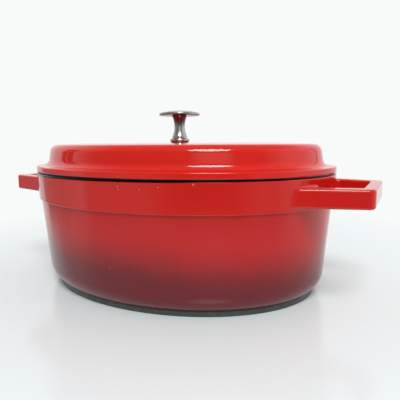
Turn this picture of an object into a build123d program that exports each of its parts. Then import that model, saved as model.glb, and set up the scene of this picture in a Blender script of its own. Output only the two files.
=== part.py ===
"""Oval enamelled cast-iron oven with a stepped lid and a bolted steel knob.

Millimetres, +Z up, long axis of the oval along X. The origin is the middle of the
base, on the surface that the pot stands on. The pot with its two loop handles is one
casting, the lid is another, and the knob is a stack of turned steel pieces that one
screw pulls down onto the lid from below.
"""

import os
from math import cos, pi, radians, sin, tan

from build123d import *

# Oval, measured over the outer edge of the pot's rim
RIM_LENGTH = 300.0
RIM_WIDTH = 239.0

# Pot casting
POT_HEIGHT = 107.5
WALL = 4.0
WALL_DRAFT = 5.2  # degrees that the body leans out
FLOOR = 4.5
BASE_EDGE_RADIUS = 20.0
FLOOR_CORNER_RADIUS = 16.0
FOOT_INSET = 17.0  # outer face of the ring that the pot stands on, behind the rim's edge
FOOT_WIDTH = 16.0
FOOT_STAND = 1.0  # from the ground up to the body's underside
FOOT_EDGE_RADIUS = 0.5
COLLAR_HEIGHT = 25.0
COLLAR_DRAFT = 3.0  # degrees
COLLAR_STEP = 1.7  # how far the collar stands out of the body
COLLAR_EDGE_RADIUS = 0.8
RIM_EDGE_RADIUS = 1.0

# Loop handles, one at each end of the long axis
HANDLE_REACH = 35.2  # past the rim
HANDLE_END_WIDTH = 84.0
HANDLE_FLARE = 16.0  # degrees that each arm opens towards the pot
HANDLE_BAR = 10.0  # end bar, seen from above
HANDLE_ARM = 12.0  # each arm, seen from above
HANDLE_HEIGHT = 15.2
HANDLE_DROP = 7.0  # from the rim down to the top of the handle
HANDLE_CORNER_RADIUS = 6.0
HANDLE_HOLE_RADIUS = 3.5
HANDLE_EDGE_RADIUS = 2.0
HANDLE_SWEEP_RADIUS = 25.0  # of each arm's outer face into the collar, seen from above
HANDLE_NOOK_RADIUS = 6.0  # of each arm's inner face into the collar, seen from above
HANDLE_COVER = 0.15  # collar outside the oval that the arms are drawn from
HANDLE_ROOT_RADIUS = 1.8

# Lid casting
LID_WALL = 4.0
FLANGE_THICKNESS = 6.3  # from the seat up to the flange's edge
SEAT_INSET = 1.8  # outer edge of the seat, behind the lid's edge
SEAT_RELIEF = 1.2  # gap that stays open outside the seat
FLANGE_WIDTH = 11.0  # from the lid's edge to the foot of its dome
FLANGE_RISE = 0.7
FLANGE_EDGE_RADIUS = 1.0
DOME_HEIGHT = 18.5  # from the foot of the dome to its shoulder
DOME_DRAFT = 8.5  # degrees
COVE_RADIUS = 6.5
DOME_EDGE_RADIUS = 7.5
DOME_INNER_RADIUS = 5.0
LID_CROWN = 1.9  # rise of the top from the shoulder to the knob
CROWN_SHARES = (0.9, 0.75, 0.55, 0.3)  # shares of the shoulder's oval that the crown is drawn through
CROWN_POWER = 5  # how flat the middle of the crown is
KNOB_SEAT_DIAMETER = 24.0  # flat round under the knob
LIP_DEPTH = 5.0
LIP_THICKNESS = 4.5
LIP_CLEARANCE = 1.2  # between the lip and the pot's mouth
LIP_EDGE_RADIUS = 1.2

# Drip points cast under the lid, on oval rings
DRIP_RINGS = 2
DRIP_RING_PITCH = 36.0
DRIP_SPACING = 42.0
DRIP_RADIUS = 3.4
DRIP_TIP_RADIUS = 1.4
DRIP_HEIGHT = 4.0

# Knob and what holds it
CAP_DIAMETER = 40.0
CAP_EDGE = 2.4
CAP_CROWN = 2.6
CAP_EDGE_RADIUS = 1.0
STEM_HEIGHT = 21.8
STEM_FOOT_DIAMETER = 14.6
STEM_LAND = 2.0  # straight stretch at the foot of the stem
STEM_WAIST_DIAMETER = 10.3
STEM_TOP_DIAMETER = 15.2
STUD_DIAMETER = 5.0
STUD_LENGTH = 7.0
BELL_DIAMETER = 19.2
BELL_FOOT_DIAMETER = 17.2
BELL_TOP_DIAMETER = 15.4
BELL_HEIGHT = 3.9
BELL_WAIST = 1.7  # height of the widest part
GASKET_THICKNESS = 0.6
GASKET_MARGIN = 0.3  # gasket edge inside the bell's foot
SCREW_DIAMETER = 6.0
SCREW_REACH = 11.0  # thread held in the stem
SCREW_HEAD_DIAMETER = 12.0
SCREW_HEAD_HEIGHT = 3.6
SCREW_HEAD_RADIUS = 1.6
DRIVE_SLOT_LENGTH = 7.0
DRIVE_SLOT_WIDTH = 1.3
DRIVE_SLOT_DEPTH = 1.8
WASHER_DIAMETER = 14.0
WASHER_THICKNESS = 1.2
SPRING_WASHER_DIAMETER = 11.0
SPRING_WASHER_THICKNESS = 1.5
SPRING_WASHER_SPLIT = 1.0
SPRING_WASHER_ANGLE = 20.0  # degrees that the split leans

# Clearances on radius
THREAD_CLEARANCE = 0.05
STUD_CLEARANCE = 0.02
SCREW_HOLE_CLEARANCE = 0.3
THREAD_RUN_OUT = 1.5  # hole past the end of the screw

# Heights and insets that follow
HALF_LENGTH = RIM_LENGTH / 2
HALF_WIDTH = RIM_WIDTH / 2
floor_top = FOOT_STAND + FLOOR
collar_foot = POT_HEIGHT - COLLAR_HEIGHT
collar_foot_inset = COLLAR_HEIGHT * tan(radians(COLLAR_DRAFT))
lid_seat = POT_HEIGHT
flange_foot = lid_seat + SEAT_RELIEF
flange_top = lid_seat + FLANGE_THICKNESS
dome_foot = flange_top + FLANGE_RISE
lid_shoulder = dome_foot + DOME_HEIGHT
lid_top = lid_shoulder + LID_CROWN
lid_ceiling = lid_shoulder - LID_WALL
bell_foot = lid_top + GASKET_THICKNESS
stem_foot = bell_foot + BELL_HEIGHT
cap_foot = stem_foot + STEM_HEIGHT
washer_foot = lid_ceiling - WASHER_THICKNESS
spring_washer_foot = washer_foot - SPRING_WASHER_THICKNESS
screw_tip = stem_foot + SCREW_REACH
thread_radius = SCREW_DIAMETER / 2
screw_hole_radius = thread_radius + SCREW_HOLE_CLEARANCE


def body_inset(height):
    """Inset of the body's outer face, behind the rim's edge, at a height."""
    below_collar = collar_foot - height
    return collar_foot_inset + COLLAR_STEP + below_collar * tan(radians(WALL_DRAFT))


def mouth_inset(height):
    """Inset of the pot's inner face at a height."""
    return body_inset(height) + WALL


def dome_inset(height):
    """Inset of the lid's dome wall at a height."""
    return FLANGE_WIDTH + (height - dome_foot) * tan(radians(DOME_DRAFT))


def oval(inset, mode=Mode.ADD):
    """The rim's oval drawn in by the same amount all round."""
    return Ellipse(HALF_LENGTH - inset, HALF_WIDTH - inset, mode=mode)


def level_edges(part, height):
    """Edges of a part that lie flat at one height."""
    return part.edges().filter_by(lambda edge: is_level(edge, height))


def is_level(edge, height, slack=0.001):
    """True where both the lowest and the highest point of an edge are at a height."""
    box = edge.bounding_box()
    return abs(box.min.Z - height) < slack and abs(box.max.Z - height) < slack


def drip_places():
    """Places under the lid where the drip points hang, ring by ring from the outside."""
    places = []
    for ring in range(DRIP_RINGS):
        inset = drip_ring_inset + ring * DRIP_RING_PITCH
        long_radius = HALF_LENGTH - inset
        short_radius = HALF_WIDTH - inset
        count = round(pi * (long_radius + short_radius) / DRIP_SPACING)
        for step in range(count):
            turn = 2 * pi * step / count
            place = (long_radius * cos(turn), short_radius * sin(turn), lid_ceiling)
            places.append(Location(place, (180, 0, 0)))
    return places


def handle_corner(x, half_width, distance):
    """Point on a flared arm, a distance back from its end at x."""
    flare = radians(HANDLE_FLARE)
    return (x - distance * cos(flare), half_width + distance * sin(flare))


def loop_outline(x, half_width, length):
    """Four-sided outline that opens towards the pot and is mirrored about X."""
    far_x, far_y = handle_corner(x, half_width, length)
    return Polyline((x, half_width), (far_x, far_y), (far_x, -far_y), (x, -half_width), close=True)


# Handles: a flared loop at each end that sweeps into the rim's oval, rounded before it meets the pot
handle_end = HALF_LENGTH + HANDLE_REACH
handle_foot = POT_HEIGHT - HANDLE_DROP - HANDLE_HEIGHT
handle_inset = (POT_HEIGHT - handle_foot) * tan(radians(COLLAR_DRAFT)) + HANDLE_COVER
hole_end = handle_end - HANDLE_BAR
hole_half_width = HANDLE_END_WIDTH / 2 + HANDLE_BAR * tan(radians(HANDLE_FLARE))
hole_half_width -= HANDLE_ARM / cos(radians(HANDLE_FLARE))
handle_length = HANDLE_REACH + HALF_LENGTH / 2  # far enough to end inside the pot
with BuildPart() as handles:
    with BuildSketch(Plane.XY.offset(handle_foot)) as loop:
        with BuildLine():
            loop_outline(handle_end, HANDLE_END_WIDTH / 2, handle_length)
        make_face()
        fillet(loop.vertices().group_by(Axis.X)[-1], HANDLE_CORNER_RADIUS)
        oval(handle_inset)
        fillet(loop.vertices().group_by(Axis.X)[0], HANDLE_SWEEP_RADIUS)
        with BuildSketch(mode=Mode.SUBTRACT) as hole:
            with BuildLine():
                loop_outline(hole_end, hole_half_width, handle_length - HANDLE_ARM - HANDLE_BAR)
            make_face()
            fillet(hole.vertices().group_by(Axis.X)[-1], HANDLE_HOLE_RADIUS)
            oval(handle_inset, mode=Mode.SUBTRACT)
            fillet(hole.vertices().group_by(Axis.X)[0], HANDLE_NOOK_RADIUS)
        mirror(about=Plane.YZ)
    extrude(amount=HANDLE_HEIGHT)
    fillet(handles.faces().filter_by(Axis.Z).edges(), HANDLE_EDGE_RADIUS)

# Cavity: what the pot is hollowed by, rounded where its wall meets its floor
with BuildPart() as cavity:
    with BuildSketch(Plane.XY.offset(floor_top)):
        oval(mouth_inset(floor_top))
    with BuildSketch(Plane.XY.offset(POT_HEIGHT)):
        oval(mouth_inset(POT_HEIGHT))
    loft()
    fillet(level_edges(cavity, floor_top), FLOOR_CORNER_RADIUS)

# Pot: leaning body, foot ring, stepped collar, handles, then the inside
with BuildPart() as pot:
    with BuildSketch(Plane.XY.offset(FOOT_STAND)):
        oval(body_inset(FOOT_STAND))
    with BuildSketch(Plane.XY.offset(collar_foot)):
        oval(body_inset(collar_foot))
    loft()
    fillet(level_edges(pot, FOOT_STAND), BASE_EDGE_RADIUS)
    with BuildSketch(Plane.XY):
        oval(FOOT_INSET)
        oval(FOOT_INSET + FOOT_WIDTH, mode=Mode.SUBTRACT)
    extrude(amount=floor_top)
    fillet(level_edges(pot, 0), FOOT_EDGE_RADIUS)
    with BuildSketch(Plane.XY.offset(collar_foot)):
        oval(collar_foot_inset)
    with BuildSketch(Plane.XY.offset(POT_HEIGHT)):
        oval(0)
    loft()
    fillet(level_edges(pot, collar_foot).sort_by(SortBy.LENGTH)[-1], COLLAR_EDGE_RADIUS)
    add(handles.part)
    fillet(pot.edges(Select.NEW).filter_by(GeomType.BSPLINE), HANDLE_ROOT_RADIUS)
    add(cavity.part, mode=Mode.SUBTRACT)
    fillet(level_edges(pot, POT_HEIGHT), RIM_EDGE_RADIUS)
pot.part.label = "pot"

# Lid: seat, flange, cove, dome and crowned top, hollowed, with a lip and drip points below
lip_inset = mouth_inset(POT_HEIGHT) + LIP_CLEARANCE
crown_length = HALF_LENGTH - dome_inset(lid_shoulder)
crown_width = HALF_WIDTH - dome_inset(lid_shoulder)
drip_ring_inset = dome_inset(lid_ceiling) + LID_WALL + DOME_INNER_RADIUS + DRIP_RADIUS
with BuildPart() as lid:
    with BuildSketch(Plane.XY.offset(lid_seat)):
        oval(SEAT_INSET)
    extrude(amount=SEAT_RELIEF)
    with BuildSketch(Plane.XY.offset(flange_foot)):
        oval(0)
    extrude(amount=flange_top - flange_foot)
    with BuildSketch(Plane.XY.offset(flange_top)):
        oval(0)
    with BuildSketch(Plane.XY.offset(dome_foot)):
        oval(FLANGE_WIDTH)
    loft()
    with BuildSketch(Plane.XY.offset(dome_foot)):
        oval(FLANGE_WIDTH)
    with BuildSketch(Plane.XY.offset(lid_shoulder)):
        oval(dome_inset(lid_shoulder))
    loft()
    with BuildSketch(Plane.XY.offset(lid_shoulder)):
        oval(dome_inset(lid_shoulder))
    for share in CROWN_SHARES:
        crown_height = lid_shoulder + LID_CROWN * (1 - share**CROWN_POWER)
        with BuildSketch(Plane.XY.offset(crown_height)):
            Ellipse(share * crown_length, share * crown_width)
    with BuildSketch(Plane.XY.offset(lid_top)):
        Circle(KNOB_SEAT_DIAMETER / 2)
    loft()
    fillet(level_edges(lid, dome_foot), COVE_RADIUS)
    fillet(level_edges(lid, lid_shoulder), DOME_EDGE_RADIUS)
    fillet(level_edges(lid, flange_foot).sort_by(SortBy.LENGTH)[-1], FLANGE_EDGE_RADIUS)
    fillet(level_edges(lid, flange_top), FLANGE_EDGE_RADIUS)
    with BuildSketch(Plane.XY.offset(lid_seat)):
        oval(dome_inset(lid_seat) + LID_WALL)
    with BuildSketch(Plane.XY.offset(lid_ceiling)):
        oval(dome_inset(lid_ceiling) + LID_WALL)
    loft(mode=Mode.SUBTRACT)
    fillet(level_edges(lid, lid_ceiling), DOME_INNER_RADIUS)
    with BuildSketch(Plane.XY.offset(lid_seat)):
        oval(lip_inset)
        oval(lip_inset + LIP_THICKNESS, mode=Mode.SUBTRACT)
    extrude(amount=-LIP_DEPTH)
    fillet(level_edges(lid, lid_seat - LIP_DEPTH), LIP_EDGE_RADIUS)
    with Locations(*drip_places()):
        Cone(
            DRIP_RADIUS,
            DRIP_TIP_RADIUS,
            DRIP_HEIGHT,
            align=(Align.CENTER, Align.CENTER, Align.MIN),
        )
    with Locations((0, 0, lid_top)):
        Hole(screw_hole_radius, lid_top - lid_ceiling)
lid.part.label = "lid"

# Gasket: keeps the steel off the enamel
with BuildPart() as knob_gasket:
    with BuildSketch(Plane.XY.offset(lid_top)):
        Circle(BELL_FOOT_DIAMETER / 2 - GASKET_MARGIN)
        Circle(screw_hole_radius, mode=Mode.SUBTRACT)
    extrude(amount=GASKET_THICKNESS)
knob_gasket.part.label = "knob_gasket"

# Bell: the rounded foot under the stem
with BuildPart() as knob_bell:
    with BuildSketch(Plane.XZ):
        with BuildLine():
            Polyline(
                (BELL_TOP_DIAMETER / 2, stem_foot),
                (screw_hole_radius, stem_foot),
                (screw_hole_radius, bell_foot),
                (BELL_FOOT_DIAMETER / 2, bell_foot),
            )
            ThreePointArc(
                (BELL_FOOT_DIAMETER / 2, bell_foot),
                (BELL_DIAMETER / 2, bell_foot + BELL_WAIST),
                (BELL_TOP_DIAMETER / 2, stem_foot),
            )
        make_face()
    revolve(axis=Axis.Z)
knob_bell.part.label = "knob_bell"

# Stem: waisted bar with the screw's thread below and the cap's socket above
with BuildPart() as knob_stem:
    with BuildSketch(Plane.XZ):
        with BuildLine():
            Polyline(
                (STEM_TOP_DIAMETER / 2, cap_foot),
                (0, cap_foot),
                (0, stem_foot),
                (STEM_FOOT_DIAMETER / 2, stem_foot),
                (STEM_FOOT_DIAMETER / 2, stem_foot + STEM_LAND),
            )
            ThreePointArc(
                (STEM_FOOT_DIAMETER / 2, stem_foot + STEM_LAND),
                (STEM_WAIST_DIAMETER / 2, (stem_foot + STEM_LAND + cap_foot) / 2),
                (STEM_TOP_DIAMETER / 2, cap_foot),
            )
        make_face()
    revolve(axis=Axis.Z)
    with Locations(Location((0, 0, stem_foot), (180, 0, 0))):
        Hole(thread_radius + THREAD_CLEARANCE, SCREW_REACH + THREAD_RUN_OUT)
    with Locations((0, 0, cap_foot)):
        Hole(STUD_DIAMETER / 2 + STUD_CLEARANCE, STUD_LENGTH + STUD_CLEARANCE)
knob_stem.part.label = "knob_stem"

# Cap: crowned disc with a stud that is pressed into the stem
cap_rim = cap_foot + CAP_EDGE
crown_radius = ((CAP_DIAMETER / 2) ** 2 + CAP_CROWN**2) / (2 * CAP_CROWN)
with BuildPart() as knob_cap:
    with BuildSketch(Plane.XZ):
        with BuildLine():
            Polyline(
                (0, cap_rim + CAP_CROWN),
                (0, cap_foot - STUD_LENGTH),
                (STUD_DIAMETER / 2, cap_foot - STUD_LENGTH),
                (STUD_DIAMETER / 2, cap_foot),
                (CAP_DIAMETER / 2, cap_foot),
                (CAP_DIAMETER / 2, cap_rim),
            )
            RadiusArc((CAP_DIAMETER / 2, cap_rim), (0, cap_rim + CAP_CROWN), -crown_radius)
        make_face()
    revolve(axis=Axis.Z)
    fillet(knob_cap.edges().group_by(SortBy.LENGTH)[-1], CAP_EDGE_RADIUS)
knob_cap.part.label = "knob_cap"

# Washer: spreads the load on the underside of the lid
with BuildPart() as washer:
    with BuildSketch(Plane.XY.offset(washer_foot)):
        Circle(WASHER_DIAMETER / 2)
        Circle(screw_hole_radius, mode=Mode.SUBTRACT)
    extrude(amount=WASHER_THICKNESS)
washer.part.label = "washer"

# Spring washer: a ring split by a leaning cut
with BuildPart() as spring_washer:
    with BuildSketch(Plane.XY.offset(spring_washer_foot)):
        Circle(SPRING_WASHER_DIAMETER / 2)
        Circle(screw_hole_radius, mode=Mode.SUBTRACT)
    extrude(amount=SPRING_WASHER_THICKNESS)
    split_middle = spring_washer_foot + SPRING_WASHER_THICKNESS / 2
    with Locations(Location((0, 0, split_middle), (SPRING_WASHER_ANGLE, 0, 0))):
        Box(
            SPRING_WASHER_DIAMETER,
            SPRING_WASHER_SPLIT,
            SPRING_WASHER_DIAMETER,
            align=(Align.MIN, Align.CENTER, Align.CENTER),
            mode=Mode.SUBTRACT,
        )
spring_washer.part.label = "spring_washer"

# Screw: pan head below the lid, shank up into the stem
with BuildPart() as knob_screw:
    with BuildSketch(Plane.XY.offset(spring_washer_foot)):
        Circle(SCREW_HEAD_DIAMETER / 2)
    extrude(amount=-SCREW_HEAD_HEIGHT)
    fillet(knob_screw.edges().sort_by(Axis.Z)[0], SCREW_HEAD_RADIUS)
    with BuildSketch(Plane.XY.offset(spring_washer_foot)):
        Circle(thread_radius)
    extrude(amount=screw_tip - spring_washer_foot)
    with BuildSketch(Plane.XY.offset(spring_washer_foot - SCREW_HEAD_HEIGHT)):
        Rectangle(DRIVE_SLOT_LENGTH, DRIVE_SLOT_WIDTH)
        Rectangle(DRIVE_SLOT_WIDTH, DRIVE_SLOT_LENGTH)
    extrude(amount=DRIVE_SLOT_DEPTH, mode=Mode.SUBTRACT)
knob_screw.part.label = "knob_screw"

pieces = [
    pot,
    lid,
    knob_gasket,
    knob_bell,
    knob_stem,
    knob_cap,
    washer,
    spring_washer,
    knob_screw,
]
os.makedirs("parts", exist_ok=True)
for piece in pieces:
    export_step(piece.part, f"parts/{piece.part.label}.step")
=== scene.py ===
# %% [markdown]
# # An oval cast-iron oven, dressed
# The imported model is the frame: every piece sits where the model puts it, in metres,
# with the oven standing on the floor at height zero and its long axis along X. The two
# castings and the turned knob keep their solids. What is left to do is what a glazing
# shop, a polishing bench and a photographer do: enamel, steel, light and camera.

import math

import bpy
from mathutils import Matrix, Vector


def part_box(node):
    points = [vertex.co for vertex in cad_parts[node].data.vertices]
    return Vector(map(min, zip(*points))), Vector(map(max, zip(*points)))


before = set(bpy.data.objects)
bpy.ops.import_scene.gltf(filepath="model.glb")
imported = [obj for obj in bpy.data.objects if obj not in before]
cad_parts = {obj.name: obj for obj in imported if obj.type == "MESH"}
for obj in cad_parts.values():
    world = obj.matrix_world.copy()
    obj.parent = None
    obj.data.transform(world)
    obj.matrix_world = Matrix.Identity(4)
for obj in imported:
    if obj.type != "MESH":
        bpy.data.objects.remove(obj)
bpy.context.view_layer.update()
MM = 0.001  # metres
print("frame holds", ", ".join(sorted(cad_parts)))

# %% [markdown]
# ## Camera
# The oven was photographed from the height of the lid's top, close by, with its right
# handle turned towards the lens. Close to a wide oval the near handle looks larger than
# the far one, so the distance matters as much as the angle: a longer lens from further
# off would give the right angle with the wrong handles.

# %% Camera
PHOTO_SIDE = 400  # pixels
FOCAL_PIXELS = 413.6
SENSOR_WIDTH = 36.0  # millimetres
CLIP_START = 0.01  # metres
CAMERA_PLACE = (203.8 * MM, -362.9 * MM, 134.5 * MM)
CAMERA_PITCH = -7.85  # degrees, below the horizon
CAMERA_TURN = 26.55  # degrees, from looking along +Y towards -X
CAMERA_ROLL = 0.25  # degrees

lens = bpy.data.cameras.new("camera")
lens.sensor_width = SENSOR_WIDTH
lens.lens = SENSOR_WIDTH * FOCAL_PIXELS / PHOTO_SIDE
lens.clip_start = CLIP_START
camera = bpy.data.objects.new("camera", lens)
camera.location = CAMERA_PLACE
camera.rotation_euler = (
    math.radians(90 + CAMERA_PITCH),
    math.radians(CAMERA_ROLL),
    math.radians(CAMERA_TURN),
)
bpy.context.scene.collection.objects.link(camera)
bpy.context.scene.camera = camera
bpy.context.scene.view_settings.view_transform = "Standard"
print("lens", round(lens.lens, 2), "mm at", [round(value, 3) for value in CAMERA_PLACE])

# %% [markdown]
# ## Sums on sockets
# Every finish below is a sum over the surface: how high a point is, how far it lies from
# the rim's oval, how a noise varies there. Nodes can be wired one by one, but a formula
# is easier to read and to change. This small class holds one output of a node, and the
# usual signs on it add the Math nodes that do the sum.


# %% A wire between nodes
class Wire:
    """One output of a node, or a bare tree to start from. Signs on wires add Math nodes."""

    def __init__(self, tree, socket=None):
        self.tree = tree
        self.socket = socket

    def node(self, kind, settings=None, sockets=None, output=0):
        """Adds any node: its settings first, then the values or wires of its sockets."""
        made = self.tree.nodes.new(kind)
        for name, value in (settings or {}).items():
            setattr(made, name, value)
        for name, value in (sockets or {}).items():
            connect(self.tree, value, made.inputs[name])
        return Wire(self.tree, made.outputs[output])

    def maths(self, operation, first, second=0.0):
        return self.node("ShaderNodeMath", {"operation": operation}, {0: first, 1: second})

    def __add__(self, other):
        return self.maths("ADD", self, other)

    def __radd__(self, other):
        return self.maths("ADD", other, self)

    def __sub__(self, other):
        return self.maths("SUBTRACT", self, other)

    def __rsub__(self, other):
        return self.maths("SUBTRACT", other, self)

    def __mul__(self, other):
        return self.maths("MULTIPLY", self, other)

    def __rmul__(self, other):
        return self.maths("MULTIPLY", other, self)

    def __truediv__(self, other):
        return self.maths("DIVIDE", self, other)

    def __rtruediv__(self, other):
        return self.maths("DIVIDE", other, self)

    def __pow__(self, other):
        return self.maths("POWER", self, other)

    def __rpow__(self, other):
        return self.maths("POWER", other, self)

    def __abs__(self):
        return self.maths("ABSOLUTE", self)

    def higher(self, other):
        return self.maths("MAXIMUM", self, other)


def connect(tree, value, socket):
    """Links a wire to a socket, or sets a plain value on it."""
    if isinstance(value, Wire):
        tree.links.new(value.socket, socket)
    else:
        socket.default_value = value


print("wires take", ", ".join(["+", "-", "*", "/", "**", "abs", "higher"]))

# %% [markdown]
# ## What every finish starts from
# A finish needs to know where it is. The object's own coordinates are the model's frame,
# so heights and ovals can be written in millimetres as they were drawn. Two more helpers
# recur: an eased step from 0 to 1, which is how a sprayed or dipped edge fades, and a
# mix of two colours by such a step. A named step is a pair: the value where it is 0,
# then the value where it is 1.


# %% Start, step and mix
def start_finish(name):
    """A new material: returns it, its shader and a wire that carries object coordinates."""
    material = bpy.data.materials.new(name)
    material.use_nodes = True
    tree = material.node_tree
    place = Wire(tree).node("ShaderNodeTexCoord", output="Object")
    return material, tree.nodes["Principled BSDF"], place


def millimetres(place):
    """The three coordinates of a place, in millimetres."""
    scaled = place.node("ShaderNodeVectorMath", {"operation": "SCALE"}, {0: place, "Scale": 1 / MM})
    return [place.node("ShaderNodeSeparateXYZ", {}, {0: scaled}, axis) for axis in "XYZ"]


def ease(value, start, end):
    """0 where the value is at the start, 1 where it is at the end, and eased between."""
    return value.node(
        "ShaderNodeMapRange",
        {"interpolation_type": "SMOOTHSTEP"},
        {"Value": value, "From Min": start, "From Max": end},
    )


def mix(mask, where_0, where_1):
    """One colour where the mask is 0 and another where it is 1."""
    # Of the Mix node's many sockets, 6, 7 and output 2 are the ones for colours.
    return mask.node("ShaderNodeMix", {"data_type": "RGBA"}, {0: mask, 6: where_0, 7: where_1}, 2)


def rgb(red, green, blue):
    return (red, green, blue, 1.0)


print("helpers: start_finish, millimetres, ease, mix, rgb")

# %% [markdown]
# ## Slope, noise and bump
# Paint and polish also depend on which way a surface faces, and no real finish is even.
# The slope comes from the surface normal. A noise gives soft lumps of a chosen size, and
# a bump turns such a height into a tilt that catches the light, so that no mesh has to
# carry relief finer than a hair.

# %% Slope, noise and bump
NOISE_MIDDLE = 0.5


def slope(place):
    """How far the surface faces up: 1 on a level top, 0 on a wall, -1 on an underside."""
    normal = place.node("ShaderNodeNewGeometry", output="Normal")
    return place.node("ShaderNodeSeparateXYZ", {}, {0: normal}, "Z")


def noise(place, size_mm, detail=2.0):
    """A soft noise about its middle, with lumps of about this size."""
    return place.node(
        "ShaderNodeTexNoise",
        {},
        {"Vector": place, "Scale": 1 / (size_mm * MM), "Detail": detail},
    )


def bump(height, depth_mm):
    """A surface normal tilted by a height, where 1 stands for this depth."""
    return height.node(
        "ShaderNodeBump",
        {},
        {"Height": height, "Distance": depth_mm * MM, "Strength": 1.0},
    )


print("helpers: slope, noise, bump")

# %% [markdown]
# ## The ovals
# Inside and outside of a casting are one mesh, so the finish has to tell them apart. The
# faces could be given two materials, but the model's meshes stay as they are. The wall
# between inside and outside is thin and follows the rim's oval drawn in by an amount that
# changes with height. A point's share of that oval's radius is below 1 on one side of the
# middle of the wall and above 1 on the other. The pot leans out as it rises, so its inside
# also faces up a little everywhere and its outside faces down, which settles the round base.

# %% Ovals and heights
HALF_LENGTH = 150.0  # of the rim's oval, in millimetres
HALF_WIDTH = 119.5
POT_WALL = 4.0
FLOOR_TOP = 5.5  # height of the floor inside the pot
FOOT_INSET = 17.0  # outer face of the ring that the pot stands on
FOOT_HEAD = 4.8  # height where that face meets the round base
COLLAR_HEIGHT = 25.0
BODY_INSET_AT_COLLAR = 3.01
WALL_LEAN = math.tan(math.radians(5.2))
LID_WALL = 4.0
LID_TOP_WALL = 5.9  # thickness of the lid in its middle
DOME_RISE = 7.0  # from the rim up to the foot of the dome
DOME_INSET_AT_FOOT = 11.0
DOME_LEAN = math.tan(math.radians(8.5))
RIM_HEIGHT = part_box("pot")[1].z / MM
LID_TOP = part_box("lid")[1].z / MM
COLLAR_FOOT = RIM_HEIGHT - COLLAR_HEIGHT
DOME_FOOT = RIM_HEIGHT + DOME_RISE
LID_CEILING = LID_TOP - LID_TOP_WALL
SHARP = 0.002  # half width of a mask's edge, as a share of the oval


def share_of_oval(x, y, inset):
    """A point's distance from the middle as a share of the rim's oval drawn in by an inset."""
    across = (x / (HALF_LENGTH - inset)) ** 2.0 + (y / (HALF_WIDTH - inset)) ** 2.0
    return across**0.5


def within(share):
    """1 inside an oval and 0 outside it."""
    return ease(share, 1 + SHARP, 1 - SHARP)


print("rim at", round(RIM_HEIGHT, 1), "mm, lid top at", round(LID_TOP, 1), "mm")

# %% [markdown]
# ## Enamel on the castings
# Enamel is ground glass melted onto the iron. The red goes on as a wet spray, and on the
# pot a darker one is sprayed up from the base. One image of the pot would be the easy
# way, but it would only suit one side. A formula of height, slope and noise covers every
# side. First come the colours, as they look in plain light.

# %% Enamel colours
LID_RED = rgb(0.665, 0.012, 0.0055)
COLLAR_RED = rgb(0.6, 0.0115, 0.0065)
BODY_RED = rgb(0.535, 0.003, 0.002)
BASE_MAROON = rgb(0.145, 0.002, 0.006)
THIN_RED = rgb(0.78, 0.045, 0.022)
# Pale colour of the painted glints: small spots of painted highlight on the glaze.
PALE_GLINT = rgb(0.72, 0.42, 0.36)
# The black coat where lid and pot meet, also used as painted shade in the gap under the lid and in
# a line at the foot ring.
BLACK_COAT_AND_SHADE = rgb(0.006, 0.005, 0.006)
INSIDE_CREAM = rgb(0.72, 0.64, 0.5)
INSIDE_SPECK = rgb(0.3, 0.23, 0.16)
print("lid red", LID_RED[:3], "and base maroon", BASE_MAROON[:3])

# %% [markdown]
# ## How the glass settles
# The glass flows when it melts: it stays glossy, with a slight orange peel over the slow
# waves of the casting. It draws thin over sharp edges, where it looks lighter, and a few
# small pale spots are painted glints on bumps in the glass. Inside goes a pale cooking
# enamel with fine specks. All of this is finer than a mesh should be, so it is made of
# masks and a bump.
# Pot and lid share them, so each is a function of its own.

# %% Edges, painted glints and relief
EDGE_PATCH = 6.0  # millimetres, like the other sizes and depths here
EDGE_COVER = (0.35, 0.7)  # of the noise
ROUNDING_START = (0.2, 0.5)  # slope where a rounding leaves an upright face
ROUNDING_END = (0.98, 0.75)  # slope where it meets a level one
GLINT_SHARE = 0.5  # how far a painted glint covers the red
GLINT_CORE = 0.6  # share of a painted glint's radius with full cover
SPECK_SIZE = 1.6
SPECK_COVER = (0.68, 0.74)
SPECK_SHARE = 0.5
PEEL_SIZE = 4.0
PEEL_DEPTH = 0.005
WAVE_SIZE = 28.0
WAVE_DEPTH = 0.035


def thin_edges(place):
    """1 in patches on the roundings between upright and level faces, 0 on both of these."""
    tilt = abs(slope(place))
    roundings = ease(tilt, *ROUNDING_START) * ease(tilt, *ROUNDING_END)
    return roundings * ease(noise(place, EDGE_PATCH), *EDGE_COVER)


def with_painted_glints(place, colour, spots):
    """A colour with small pale spots of painted glint, each given as a place and a radius in
    millimetres.
    """
    found = 0.0
    for spot, radius in spots:
        reach = place.node(
            "ShaderNodeVectorMath",
            {"operation": "DISTANCE"},
            {0: place, 1: [value * MM for value in spot]},
            "Value",
        )
        found = found + ease(reach, radius * MM, GLINT_CORE * radius * MM)
    return mix(GLINT_SHARE * found, colour, PALE_GLINT)


def cooking_enamel(place):
    """The pale colour inside, with fine dark specks."""
    specks = ease(noise(place, SPECK_SIZE, detail=1.0), *SPECK_COVER)
    return mix(SPECK_SHARE * specks, INSIDE_CREAM, INSIDE_SPECK)


def glaze_relief(place):
    """Orange peel of the melted glass over the slow waves of the cast iron under it."""
    peel = noise(place, PEEL_SIZE) * PEEL_DEPTH
    wave = noise(place, WAVE_SIZE, detail=1.0) * WAVE_DEPTH
    return bump(peel + wave, 1.0)


print("helpers: thin_edges, chipped, cooking_enamel, glaze_relief")

# %% [markdown]
# ## The dark spray
# On the real pot the darker red is sprayed up from the base by hand. It fades over about
# 40 mm with a fine grain, a little higher on one side than on the other, and a thin veil
# of it reaches the collar's step. A plain ramp of height would look like a printed band,
# so the grain and larger clouds move its edge up and down.

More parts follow.
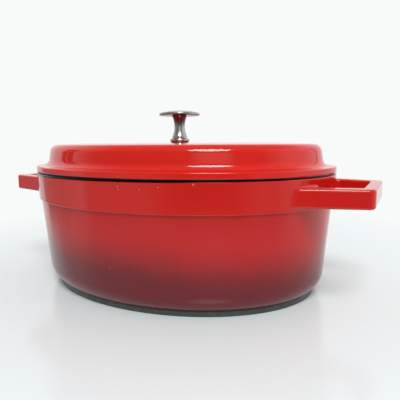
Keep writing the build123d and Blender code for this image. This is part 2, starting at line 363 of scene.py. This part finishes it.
# %% Sprayed red
FADE_FOOT = 23.0  # height where the dark spray ends its full cover, in millimetres
FADE_HEAD = 63.0  # height where the last of it is gone
FADE_RAISE = 5.0  # how much higher the spray reached on the left
FADE_SWING = 7.5  # how much lower than on the left it stopped on the right
SWING_END = 120.0  # place along X where the whole swing is reached
GRAIN_SIZE = 0.9
GRAIN_REACH = 5.0  # how far the grain moves the edge
CLOUD_SIZE = 22.0
CLOUD_REACH = 8.0
VEIL_EDGE = 0.3


def clouds(place):
    """The uneven cover of a spray."""
    return noise(place, CLOUD_SIZE, detail=3.0)


def spray_fade(place, x, z, cloud):
    """0 where the dark spray covers fully, 1 where the last of it is gone."""
    uneven = FADE_SWING * ease(x, 0.0, SWING_END) - FADE_RAISE
    grain = noise(place, GRAIN_SIZE, detail=1.0)
    moved = GRAIN_REACH * (grain - NOISE_MIDDLE) + CLOUD_REACH * (cloud - NOISE_MIDDLE)
    return ease(z + uneven + moved, FADE_FOOT, FADE_HEAD)


def sprayed_red(z, fade):
    """Red on the collar, a veiled red on the body and maroon towards the base."""
    veil = ease(z, COLLAR_FOOT + VEIL_EDGE, COLLAR_FOOT - VEIL_EDGE)
    return mix(fade, BASE_MAROON, mix(veil, COLLAR_RED, BODY_RED))


print("red fades to maroon from", FADE_HEAD, "down to", FADE_FOOT, "mm")

# %% [markdown]
# ## The foot
# The ring that the pot stands on is ground flat after firing, so it is bare iron, grey
# and dull. A dark line of painted shade runs where it meets the round base above it. It
# is part of the casting, not a piece that could take a finish of its own, so it is found
# by its oval and its height.

# %% Bare foot ring
FOOT_IRON = rgb(0.042, 0.054, 0.047)
FOOT_WORN = rgb(0.085, 0.1, 0.09)
FOOT_MARGIN = 0.2  # millimetres
WEAR_SIZE = 5.0
WEAR_COVER = (0.45, 0.7)  # of the noise
WEAR_SHARE = 0.5
# A line of painted shade under the round base, where the ring meets it.
SHADE_LINE_SHARE = 0.8
SHADE_LINE_ACROSS = (0.006, 0.002)  # away from the ring's face, as a share of the oval
SHADE_LINE_UPRIGHT = (0.9, 0.4)  # away from the ring's head, in millimetres


def under_floor(z):
    """1 below the floor of the pot, 0 above it."""
    return ease(z, FLOOR_TOP - FOOT_MARGIN, FLOOR_TOP - 2 * FOOT_MARGIN)


def with_foot(place, colour, x, y, z):
    """A colour with the bare ring and a line of painted shade at its head, and the ring's mask."""
    share = share_of_oval(x, y, FOOT_INSET - FOOT_MARGIN)
    foot = within(share) * under_floor(z)
    worn = ease(noise(place, WEAR_SIZE, detail=4.0), *WEAR_COVER)
    colour = mix(foot, colour, mix(WEAR_SHARE * worn, FOOT_IRON, FOOT_WORN))
    # Painted shade: a dark line under the round base where the ring meets it.
    shade_line = ease(abs(share - 1), *SHADE_LINE_ACROSS) * ease(abs(z - FOOT_HEAD), *SHADE_LINE_UPRIGHT)
    return mix(SHADE_LINE_SHARE * shade_line, colour, BLACK_COAT_AND_SHADE), foot


print("foot ring lies", FOOT_INSET, "mm inside the rim's oval")

# %% [markdown]
# ## Black coat and gloss
# Where lid and pot meet, thick glass would chip, so both get a thin black coat there. It
# is hardly more than blackened iron, so it counts as mostly metal: as black glass it would
# mirror the room and look grey. A brush puts it on, so its edge wanders. The rest is
# glass, nearly a mirror, a little duller where the spray is uneven and on the inside.

# %% Black coat and gloss
BRUSH_WANDER = 0.4  # millimetres
BRUSH_EDGE = 0.1
BLACK_METALLIC = 0.85
CLOUD_ROUGHNESS = 0.05
INSIDE_ROUGHNESS = 0.12
GLASS_IOR = 1.5


def brushed_band(depth, width, cloud):
    """1 where a depth in millimetres is less than a band's width, with a wandering edge."""
    wander = BRUSH_WANDER * (cloud - NOISE_MIDDLE)
    return ease(depth + wander, width + BRUSH_EDGE, width - BRUSH_EDGE)


def glass_roughness(clear, cloud, inside):
    """The roughness of clear glass, and what an uneven spray and the inside add to it."""
    return clear + CLOUD_ROUGHNESS * cloud + INSIDE_ROUGHNESS * inside


def glaze(place, shader, colour, roughness, black):
    """Gives an enamel's shader its colour, roughness, black coat and relief."""
    connect(place.tree, colour, shader.inputs["Base Color"])
    connect(place.tree, roughness, shader.inputs["Roughness"])
    connect(place.tree, BLACK_METALLIC * black, shader.inputs["Metallic"])
    connect(place.tree, glaze_relief(place), shader.inputs["Normal"])
    shader.inputs["IOR"].default_value = GLASS_IOR


print("helpers: brushed_band, glass_roughness, glaze")

# %% [markdown]
# ## Pot
# The sprayed red, the thin edges, the painted glints, the foot, the pale inside and the black
# rim come together here, one over the other as they lie on the iron. Each layer is a mask, so
# one material covers the whole casting and no seam has to be cut into its mesh. The black
# band is the rim's black coat and also painted shade of the gap under the lid; it is wider at
# the left end of the rim than at the right, and that extra width is painted shade too.

# %% Pot enamel
# Painted glints: small pale spots of painted highlight on the glaze.
POT_GLINTS = [  # place and radius in millimetres
    ((13.3, -118.7, 103.0), 0.55),
    ((14.0, -118.6, 100.8), 0.5),
    ((31.3, -116.5, 101.3), 0.5),
    ((45.6, -113.5, 103.1), 0.5),
    ((69.7, -105.6, 105.5), 0.8),
    ((-1.1, -112.3, 37.5), 0.5),
]
POT_EDGE_RISE = (66.0, 76.0)  # height from which thin edges show, in millimetres
POT_EDGE_SHARE = 0.3
FACING_UP = (0.0, 0.05)  # slope of the inside
# The band is the black coat and painted shade of the gap under the lid; its extra width at the left
# end is painted shade.
RIM_BAND = 1.4  # black down from the top of the rim, in millimetres
RIM_SHADE_SWAY = 1.1  # wider at the left end by this, and narrower at the right
POT_ROUGHNESS = 0.07
SPRAY_ROUGHNESS = 0.05
EDGE_ROUGHNESS = 0.1
RIM_ROUGHNESS = 0.1
FOOT_ROUGHNESS = 0.18


def pot_inside(place, x, y, z):
    """1 on the pale inside of the pot."""
    inset = BODY_INSET_AT_COLLAR + POT_WALL / 2 + (COLLAR_FOOT - z) * WALL_LEAN
    facing_up = ease(slope(place), *FACING_UP)
    return within(share_of_oval(x, y, inset)) * facing_up * (1 - under_floor(z))


def pot_finish():
    material, shader, place = start_finish("pot_enamel_finish")
    x, y, z = millimetres(place)
    cloud = clouds(place)

    fade = spray_fade(place, x, z, cloud)
    edges = thin_edges(place) * ease(z, *POT_EDGE_RISE)
    outside = mix(POT_EDGE_SHARE * edges, sprayed_red(z, fade), THIN_RED)
    outside = with_painted_glints(place, outside, POT_GLINTS)
    outside, foot = with_foot(place, outside, x, y, z)
    inside = pot_inside(place, x, y, z)
    # Black coat and painted shade of the gap under the lid, wider at the left end.
    rim = brushed_band(RIM_HEIGHT - z + x * (RIM_SHADE_SWAY / HALF_LENGTH), RIM_BAND, cloud)
    colour = mix(rim, mix(inside, outside, cooking_enamel(place)), BLACK_COAT_AND_SHADE)

    glass = glass_roughness(POT_ROUGHNESS, cloud, inside) + SPRAY_ROUGHNESS * (1 - fade)
    duller = EDGE_ROUGHNESS * edges + RIM_ROUGHNESS * rim + FOOT_ROUGHNESS * foot
    glaze(place, shader, colour, glass + duller, rim)
    return material


pot_enamel = pot_finish()
print(pot_enamel.name, "has", len(pot_enamel.node_tree.nodes), "nodes")

# %% [markdown]
# ## Lid
# The same red, brighter because it has no dark coat over it. The edge that meets the rim
# and the lip below it have the rim's thin black, and the hollow is glazed pale like the
# pot's inside. The layers are the pot's, so the same helpers make them.

# %% Lid enamel
# A painted glint: a small pale spot of painted highlight on the glaze.
LID_GLINTS = [((14.2, -119.2, 110.6), 0.5)]  # place and radius in millimetres
LID_EDGE_SHARE = 0.12
HOLLOW_EDGE = (0.6, 0.4)  # height above the hollow, as a share of the lid's wall
SEAT_BAND = 0.9  # black up from the lid's seat, in millimetres
LID_ROUGHNESS = 0.06
SEAT_ROUGHNESS = 0.35


def lid_inside(x, y, z):
    """1 in the pale hollow of the lid."""
    inset = DOME_INSET_AT_FOOT + LID_WALL / 2 + (z - DOME_FOOT) * DOME_LEAN
    below = ease((z - LID_CEILING) / LID_WALL, *HOLLOW_EDGE)
    return within(share_of_oval(x, y, inset)) * below


def lid_finish():
    material, shader, place = start_finish("lid_enamel_finish")
    x, y, z = millimetres(place)
    cloud = clouds(place)

    outside = mix(LID_EDGE_SHARE * thin_edges(place), LID_RED, THIN_RED)
    outside = with_painted_glints(place, outside, LID_GLINTS)
    inside = lid_inside(x, y, z)
    seat = brushed_band(z - RIM_HEIGHT, SEAT_BAND, cloud) * (1 - inside)
    colour = mix(seat, mix(inside, outside, cooking_enamel(place)), BLACK_COAT_AND_SHADE)

    glass = glass_roughness(LID_ROUGHNESS, cloud, inside)
    glaze(place, shader, colour, glass + SEAT_ROUGHNESS * seat, seat)
    return material


lid_enamel = lid_finish()
print(lid_enamel.name, "has", len(lid_enamel.node_tree.nodes), "nodes")

# %% [markdown]
# ## Turned steel
# The knob's three pieces were turned on a lathe and polished. The tool leaves rings that
# follow the profile: they run round the stem, and as circles on the cap. An image of rings
# would stretch on these curves. Height and distance from the axis added together count
# along both, so one wave makes all the rings. Under the cap the top of the stem is painted
# darker: painted shade, for the shaded lid that it mirrors there. The screw and its washers
# are plainer: rougher, with deeper rings.

# %% Steel finishes
STEEL = rgb(0.52, 0.505, 0.49)
STEEL_DARK = rgb(0.36, 0.345, 0.335)
# Painted shade for the top of the stem under the cap.
STEEL_SHADE_UNDER_CAP = rgb(0.15, 0.165, 0.165)
STEM_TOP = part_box("knob_stem")[1].z / MM
UNDER_CAP_SHADE_START = (-13.0, -6.0)  # millimetres from the stem's top
UNDER_CAP_SHADE_END = (1.2, 0.2)
SMUDGE_SIZE = 7.0
SMUDGE_COVER = (0.4, 0.65)  # of the noise
SMUDGE_SHARE = 0.35
SMUDGE_ROUGHNESS = 0.06
RING_PITCH = 0.45  # millimetres
RING_ROUGHNESS = 0.04
KNOB_RING_DEPTH = 0.0006
FASTENER_RING_DEPTH = 0.0024
KNOB_ROUGHNESS = 0.2
FASTENER_ROUGHNESS = 0.28


def steel_finish(name, roughness, ring_depth):
    material, shader, place = start_finish(name)
    x, y, z = millimetres(place)
    radius = (x * x + y * y) ** 0.5
    phase = (z + radius) * (2 * math.pi / RING_PITCH)
    rings = 0.5 + 0.5 * place.maths("SINE", phase)
    smudge = ease(noise(place, SMUDGE_SIZE, detail=3.0), *SMUDGE_COVER)
    # Painted shade at the top of the stem, under the cap.
    under_cap_shade = ease(z - STEM_TOP, *UNDER_CAP_SHADE_START) * ease(z - STEM_TOP, *UNDER_CAP_SHADE_END)

    polished = mix(SMUDGE_SHARE * smudge, STEEL, STEEL_DARK)
    uneven = SMUDGE_ROUGHNESS * smudge + RING_ROUGHNESS * rings
    connect(place.tree, mix(under_cap_shade, polished, STEEL_SHADE_UNDER_CAP), shader.inputs["Base Color"])
    connect(place.tree, roughness + uneven, shader.inputs["Roughness"])
    connect(place.tree, bump(rings, ring_depth), shader.inputs["Normal"])
    shader.inputs["Metallic"].default_value = 1.0
    return material


knob_steel = steel_finish("knob_steel_finish", KNOB_ROUGHNESS, KNOB_RING_DEPTH)
fastener_steel = steel_finish("fastener_steel_finish", FASTENER_ROUGHNESS, FASTENER_RING_DEPTH)
print("steel rings are", RING_PITCH, "mm apart, and the stem's top is at", round(STEM_TOP, 1), "mm")

# %% [markdown]
# ## Silicone
# The gasket is moulded silicone: black, matt, with a fine grain from the mould and a
# little dust in it. One flat black would do from a step away, but its edge shows all
# round the foot of the knob, where a hand and an eye come close.

# %% Gasket finish
SILICONE = rgb(0.02, 0.02, 0.021)
SILICONE_DUST = rgb(0.07, 0.068, 0.066)
MOULD_GRAIN = 0.5  # millimetres
MOULD_DEPTH = 0.02
DUST_SIZE = 3.0
DUST_COVER = (0.5, 0.75)  # of the noise
DUST_SHARE = 0.6
SILICONE_ROUGHNESS = 0.55
GRAIN_ROUGHNESS = 0.2


def gasket_finish():
    material, shader, place = start_finish("gasket_silicone_finish")
    grain = noise(place, MOULD_GRAIN)
    dust = ease(noise(place, DUST_SIZE, detail=3.0), *DUST_COVER)
    colour = mix(DUST_SHARE * dust, SILICONE, SILICONE_DUST)
    connect(place.tree, colour, shader.inputs["Base Color"])
    connect(place.tree, SILICONE_ROUGHNESS + GRAIN_ROUGHNESS * grain, shader.inputs["Roughness"])
    connect(place.tree, bump(grain, MOULD_DEPTH), shader.inputs["Normal"])
    return material


gasket_silicone = gasket_finish()
print(gasket_silicone.name, "has", len(gasket_silicone.node_tree.nodes), "nodes")

# %% [markdown]
# ## Dress the pieces
# Each node of the frame takes the finish of its own material. A new mesh could stand in
# for a node, but the shapes are already right, so none is rebuilt.

# %% Finishes on the nodes
finishes = {
    "pot": pot_enamel,
    "lid": lid_enamel,
    "knob_gasket": gasket_silicone,
    "knob_bell": knob_steel,
    "knob_stem": knob_steel,
    "knob_cap": knob_steel,
    "washer": fastener_steel,
    "spring_washer": fastener_steel,
    "knob_screw": fastener_steel,
}
for name, finish in finishes.items():
    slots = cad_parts[name].data.materials
    slots.clear()
    slots.append(finish)
print("dressed", len(finishes), "nodes in", len(set(finishes.values())), "finishes")

# %% [markdown]
# ## Floor
# A pale table with a glossy top, which takes the oven's shadow and a faint mirror image.
# A sheet that curves up behind is the usual way to hide a table's far edge. Here the
# table fades into the room further out instead, so that no horizon shows behind the lid.

# %% Floor
FLOOR_HALF = 3.0  # metres
FLOOR_GAP = 0.05 * MM
FLOOR_FADE_START = 0.18  # metres from the middle
FLOOR_FADE_END = 0.5
FLOOR_PALE = rgb(0.84, 0.91, 0.92)
FLOOR_ROUGHNESS = 0.16

corners = [(-1, -1), (1, -1), (1, 1), (-1, 1)]
floor_mesh = bpy.data.meshes.new("floor")
floor_mesh.from_pydata(
    [(FLOOR_HALF * across, FLOOR_HALF * along, -FLOOR_GAP) for across, along in corners],
    [],
    [range(len(corners))],
)
floor = bpy.data.objects.new("floor", floor_mesh)
bpy.context.scene.collection.objects.link(floor)

floor_finish, floor_shader, floor_place = start_finish("floor_finish")
floor_tree = floor_place.tree
floor_shader.inputs["Base Color"].default_value = FLOOR_PALE
floor_shader.inputs["Roughness"].default_value = FLOOR_ROUGHNESS
floor_shader.inputs["IOR"].default_value = GLASS_IOR
reach = floor_place.node("ShaderNodeVectorMath", {"operation": "LENGTH"}, {0: floor_place}, "Value")
gone = ease(reach, FLOOR_FADE_START, FLOOR_FADE_END)
solid = Wire(floor_tree, floor_shader.outputs[0])
clear = floor_place.node("ShaderNodeBsdfTransparent")
faded = floor_place.node("ShaderNodeMixShader", {}, {0: gone, 1: solid, 2: clear})
connect(floor_tree, faded, floor_tree.nodes["Material Output"].inputs["Surface"])
floor.data.materials.append(floor_finish)
print("floor fades out from", FLOOR_FADE_START, "to", FLOOR_FADE_END, "m")

# %% [markdown]
# ## Room
# Glossy enamel is a mirror with a red behind it: what it shows is the room. An image of a
# real room would bring its clutter along, so this one is a formula of the direction, and
# the metal, the enamel and the camera all see the same walls. Turns are counted in
# degrees from the front, where the lamp hangs, and they are negative to the left. The
# height of a direction runs from -1 straight down to 1 straight up.

# %% Directions in the room
FRONT_TURN = math.radians(-58.8)  # direction from the oven to the lamp behind the camera
LEAST_LEVEL = 0.0001  # keeps straight up and straight down from a division by zero

room = bpy.data.worlds.new("room")
bpy.context.scene.world = room
room.use_nodes = True
room_tree = room.node_tree
direction = Wire(room_tree).node("ShaderNodeTexCoord", output="Generated")
height = direction.node("ShaderNodeSeparateXYZ", {}, {0: direction}, "Z")
level = (1 - height * height).higher(LEAST_LEVEL) ** 0.5


def level_direction(degrees):
    """A level direction at this turn from the front."""
    turn = FRONT_TURN + math.radians(degrees)
    return (math.cos(turn), math.sin(turn), 0.0)


def towards(degrees):
    """How nearly a direction points to one side of the room, whatever its height."""
    along = direction.node(
        "ShaderNodeVectorMath",
        {"operation": "DOT_PRODUCT"},
        {0: direction, 1: level_direction(degrees)},
        "Value",
    )
    return along / level


def beside(degrees, outer, inner):
    """1 within an inner angle of one side, 0 past an outer angle, in degrees."""
    return ease(towards(degrees), math.cos(math.radians(outer)), math.cos(math.radians(inner)))


def past(degrees, soft):
    """1 on the front's side of an upright edge and 0 on its other side, softened there."""
    return ease(towards(degrees + 90), 0.0, math.radians(soft))


print("front lies along", [round(value, 2) for value in level_direction(0)])

# %% [markdown]
# ## Walls above the table
# The walls are white at the back and the sides, which gives the pale edges, and dim behind
# the camera, which keeps the front a deep red. Narrow dark screens draw the lines at both
# ends of the lid. Real panels around the oven would do the same, but they would shade
# the floor and stand in the way of other views.

# %% Upper walls
DIM_TURN = -22.0  # middle of the dim side
DIM_SPREAD = (-0.05, 0.55)
DIM_SHARE = 0.72  # share of the light that is missing there
SCREENS = [(-117.2, 2.9), (-109.3, 3.3), (119.5, 1.0)]  # turn and half width
SCREEN_SOFT = 0.8
SCREEN_TOP = (0.5, 0.35)
SCREEN_SHARE = 0.85

upper = 1 - DIM_SHARE * ease(towards(DIM_TURN), *DIM_SPREAD)
for turn, half in SCREENS:
    screen = beside(turn, half + SCREEN_SOFT, half) * ease(height, *SCREEN_TOP)
    upper = upper * (1 - SCREEN_SHARE * screen)
print("upper walls lose", DIM_SHARE, "of their light in front and hold", len(SCREENS), "screens")

# %% [markdown]
# ## Furniture below
# Lower down, a board on the left and a bench in front take light away, so the collar and
# the body stay darker than the lid. A darker red would do it too, but it would then be
# too dark in other light. The board is darkest at its outer edge, and the bench in its
# middle.

# %% Lower walls
BOARD_TURN = -135.0  # outer edge of the board
BOARD_SOFT = 2.0
BOARD_SPREAD = (0.5, 1.0)
BOARD_SHARE = 0.6
BENCH_TURN = -89.0  # outer edge of the bench
BENCH_SOFT = 7.0
BENCH_MIDDLE = -30.0
BENCH_SPREAD = (-0.26, 0.26)
BENCH_SHARE = 0.5
DARK_TURN = -5.0  # darkest part of the bench
DARK_OUTER = 40.0
DARK_INNER = 8.0
DARK_SHARE = 0.64  # of what is left

board = past(BOARD_TURN, BOARD_SOFT) * ease(towards(BOARD_TURN), *BOARD_SPREAD)
bench = past(BENCH_TURN, BENCH_SOFT) * ease(towards(BENCH_MIDDLE), *BENCH_SPREAD)
dark = beside(DARK_TURN, DARK_OUTER, DARK_INNER)
lower = (1 - BOARD_SHARE * board) * (1 - BENCH_SHARE * bench) * (1 - DARK_SHARE * dark)
print("board from", BOARD_TURN, "and bench from", BENCH_TURN, "degrees")

# %% [markdown]
# ## The whole room
# The two heights of wall meet at the table's edge. A pale panel behind the camera draws
# the faint patch down the middle of the lid, and the ceiling is dim, which keeps the
# lid's top red.

# %% Room
ROOM_WHITE = rgb(0.94, 0.955, 0.955)
TABLE_EDGE = (0.07, 0.0)  # from only the upper walls to only the lower ones
PANEL = 0.7  # strength of the pale panel
PANEL_OUTER = 18.0
PANEL_INNER = 4.0
PANEL_TOP = (0.5, 0.42)
PANEL_FOOT = (-0.06, 0.0)
CEILING = 0.42  # strength overhead
CEILING_EDGE = (0.5, 0.85)

walls = upper + (lower - upper) * ease(height, *TABLE_EDGE)
hung = ease(height, *PANEL_TOP) * ease(height, *PANEL_FOOT)
panel = beside(0.0, PANEL_OUTER, PANEL_INNER) * hung
strength = walls + PANEL * panel + (CEILING - walls) * ease(height, *CEILING_EDGE)
background = room_tree.nodes["Background"]
background.inputs["Color"].default_value = ROOM_WHITE
connect(room_tree, strength, background.inputs["Strength"])
print("room has", len(room_tree.nodes), "nodes and a ceiling of strength", CEILING)

# %% [markdown]
# ## Lamp
# One wide oval softbox hangs behind the camera, well above it. It lights the front, and
# it draws the short bright bars on the lid's shoulder, cove and flange, which end where
# the box ends. A second lamp would double those bars, so the room does the filling in.

# %% Lamp
BOX_WIDTH = 1.06  # metres
BOX_HEIGHT = 0.92
BOX_DISTANCE = 1.5  # level distance from the oven
BOX_RISE = math.radians(49.0)
BOX_POWER = 36.0  # watts
AIM = Vector((0, 0, 0.13))

softbox = bpy.data.lights.new("softbox", "AREA")
softbox.shape = "ELLIPSE"
softbox.size = BOX_WIDTH
softbox.size_y = BOX_HEIGHT
softbox.energy = BOX_POWER
lamp = bpy.data.objects.new("softbox", softbox)
box_lift = Vector((0, 0, BOX_DISTANCE * math.tan(BOX_RISE)))
lamp.location = AIM + Vector(level_direction(0)) * BOX_DISTANCE + box_lift
lamp.rotation_euler = (AIM - lamp.location).to_track_quat("-Z", "Y").to_euler()
bpy.context.scene.collection.objects.link(lamp)
print("softbox", BOX_WIDTH, "by", BOX_HEIGHT, "m at", [round(value, 2) for value in lamp.location])
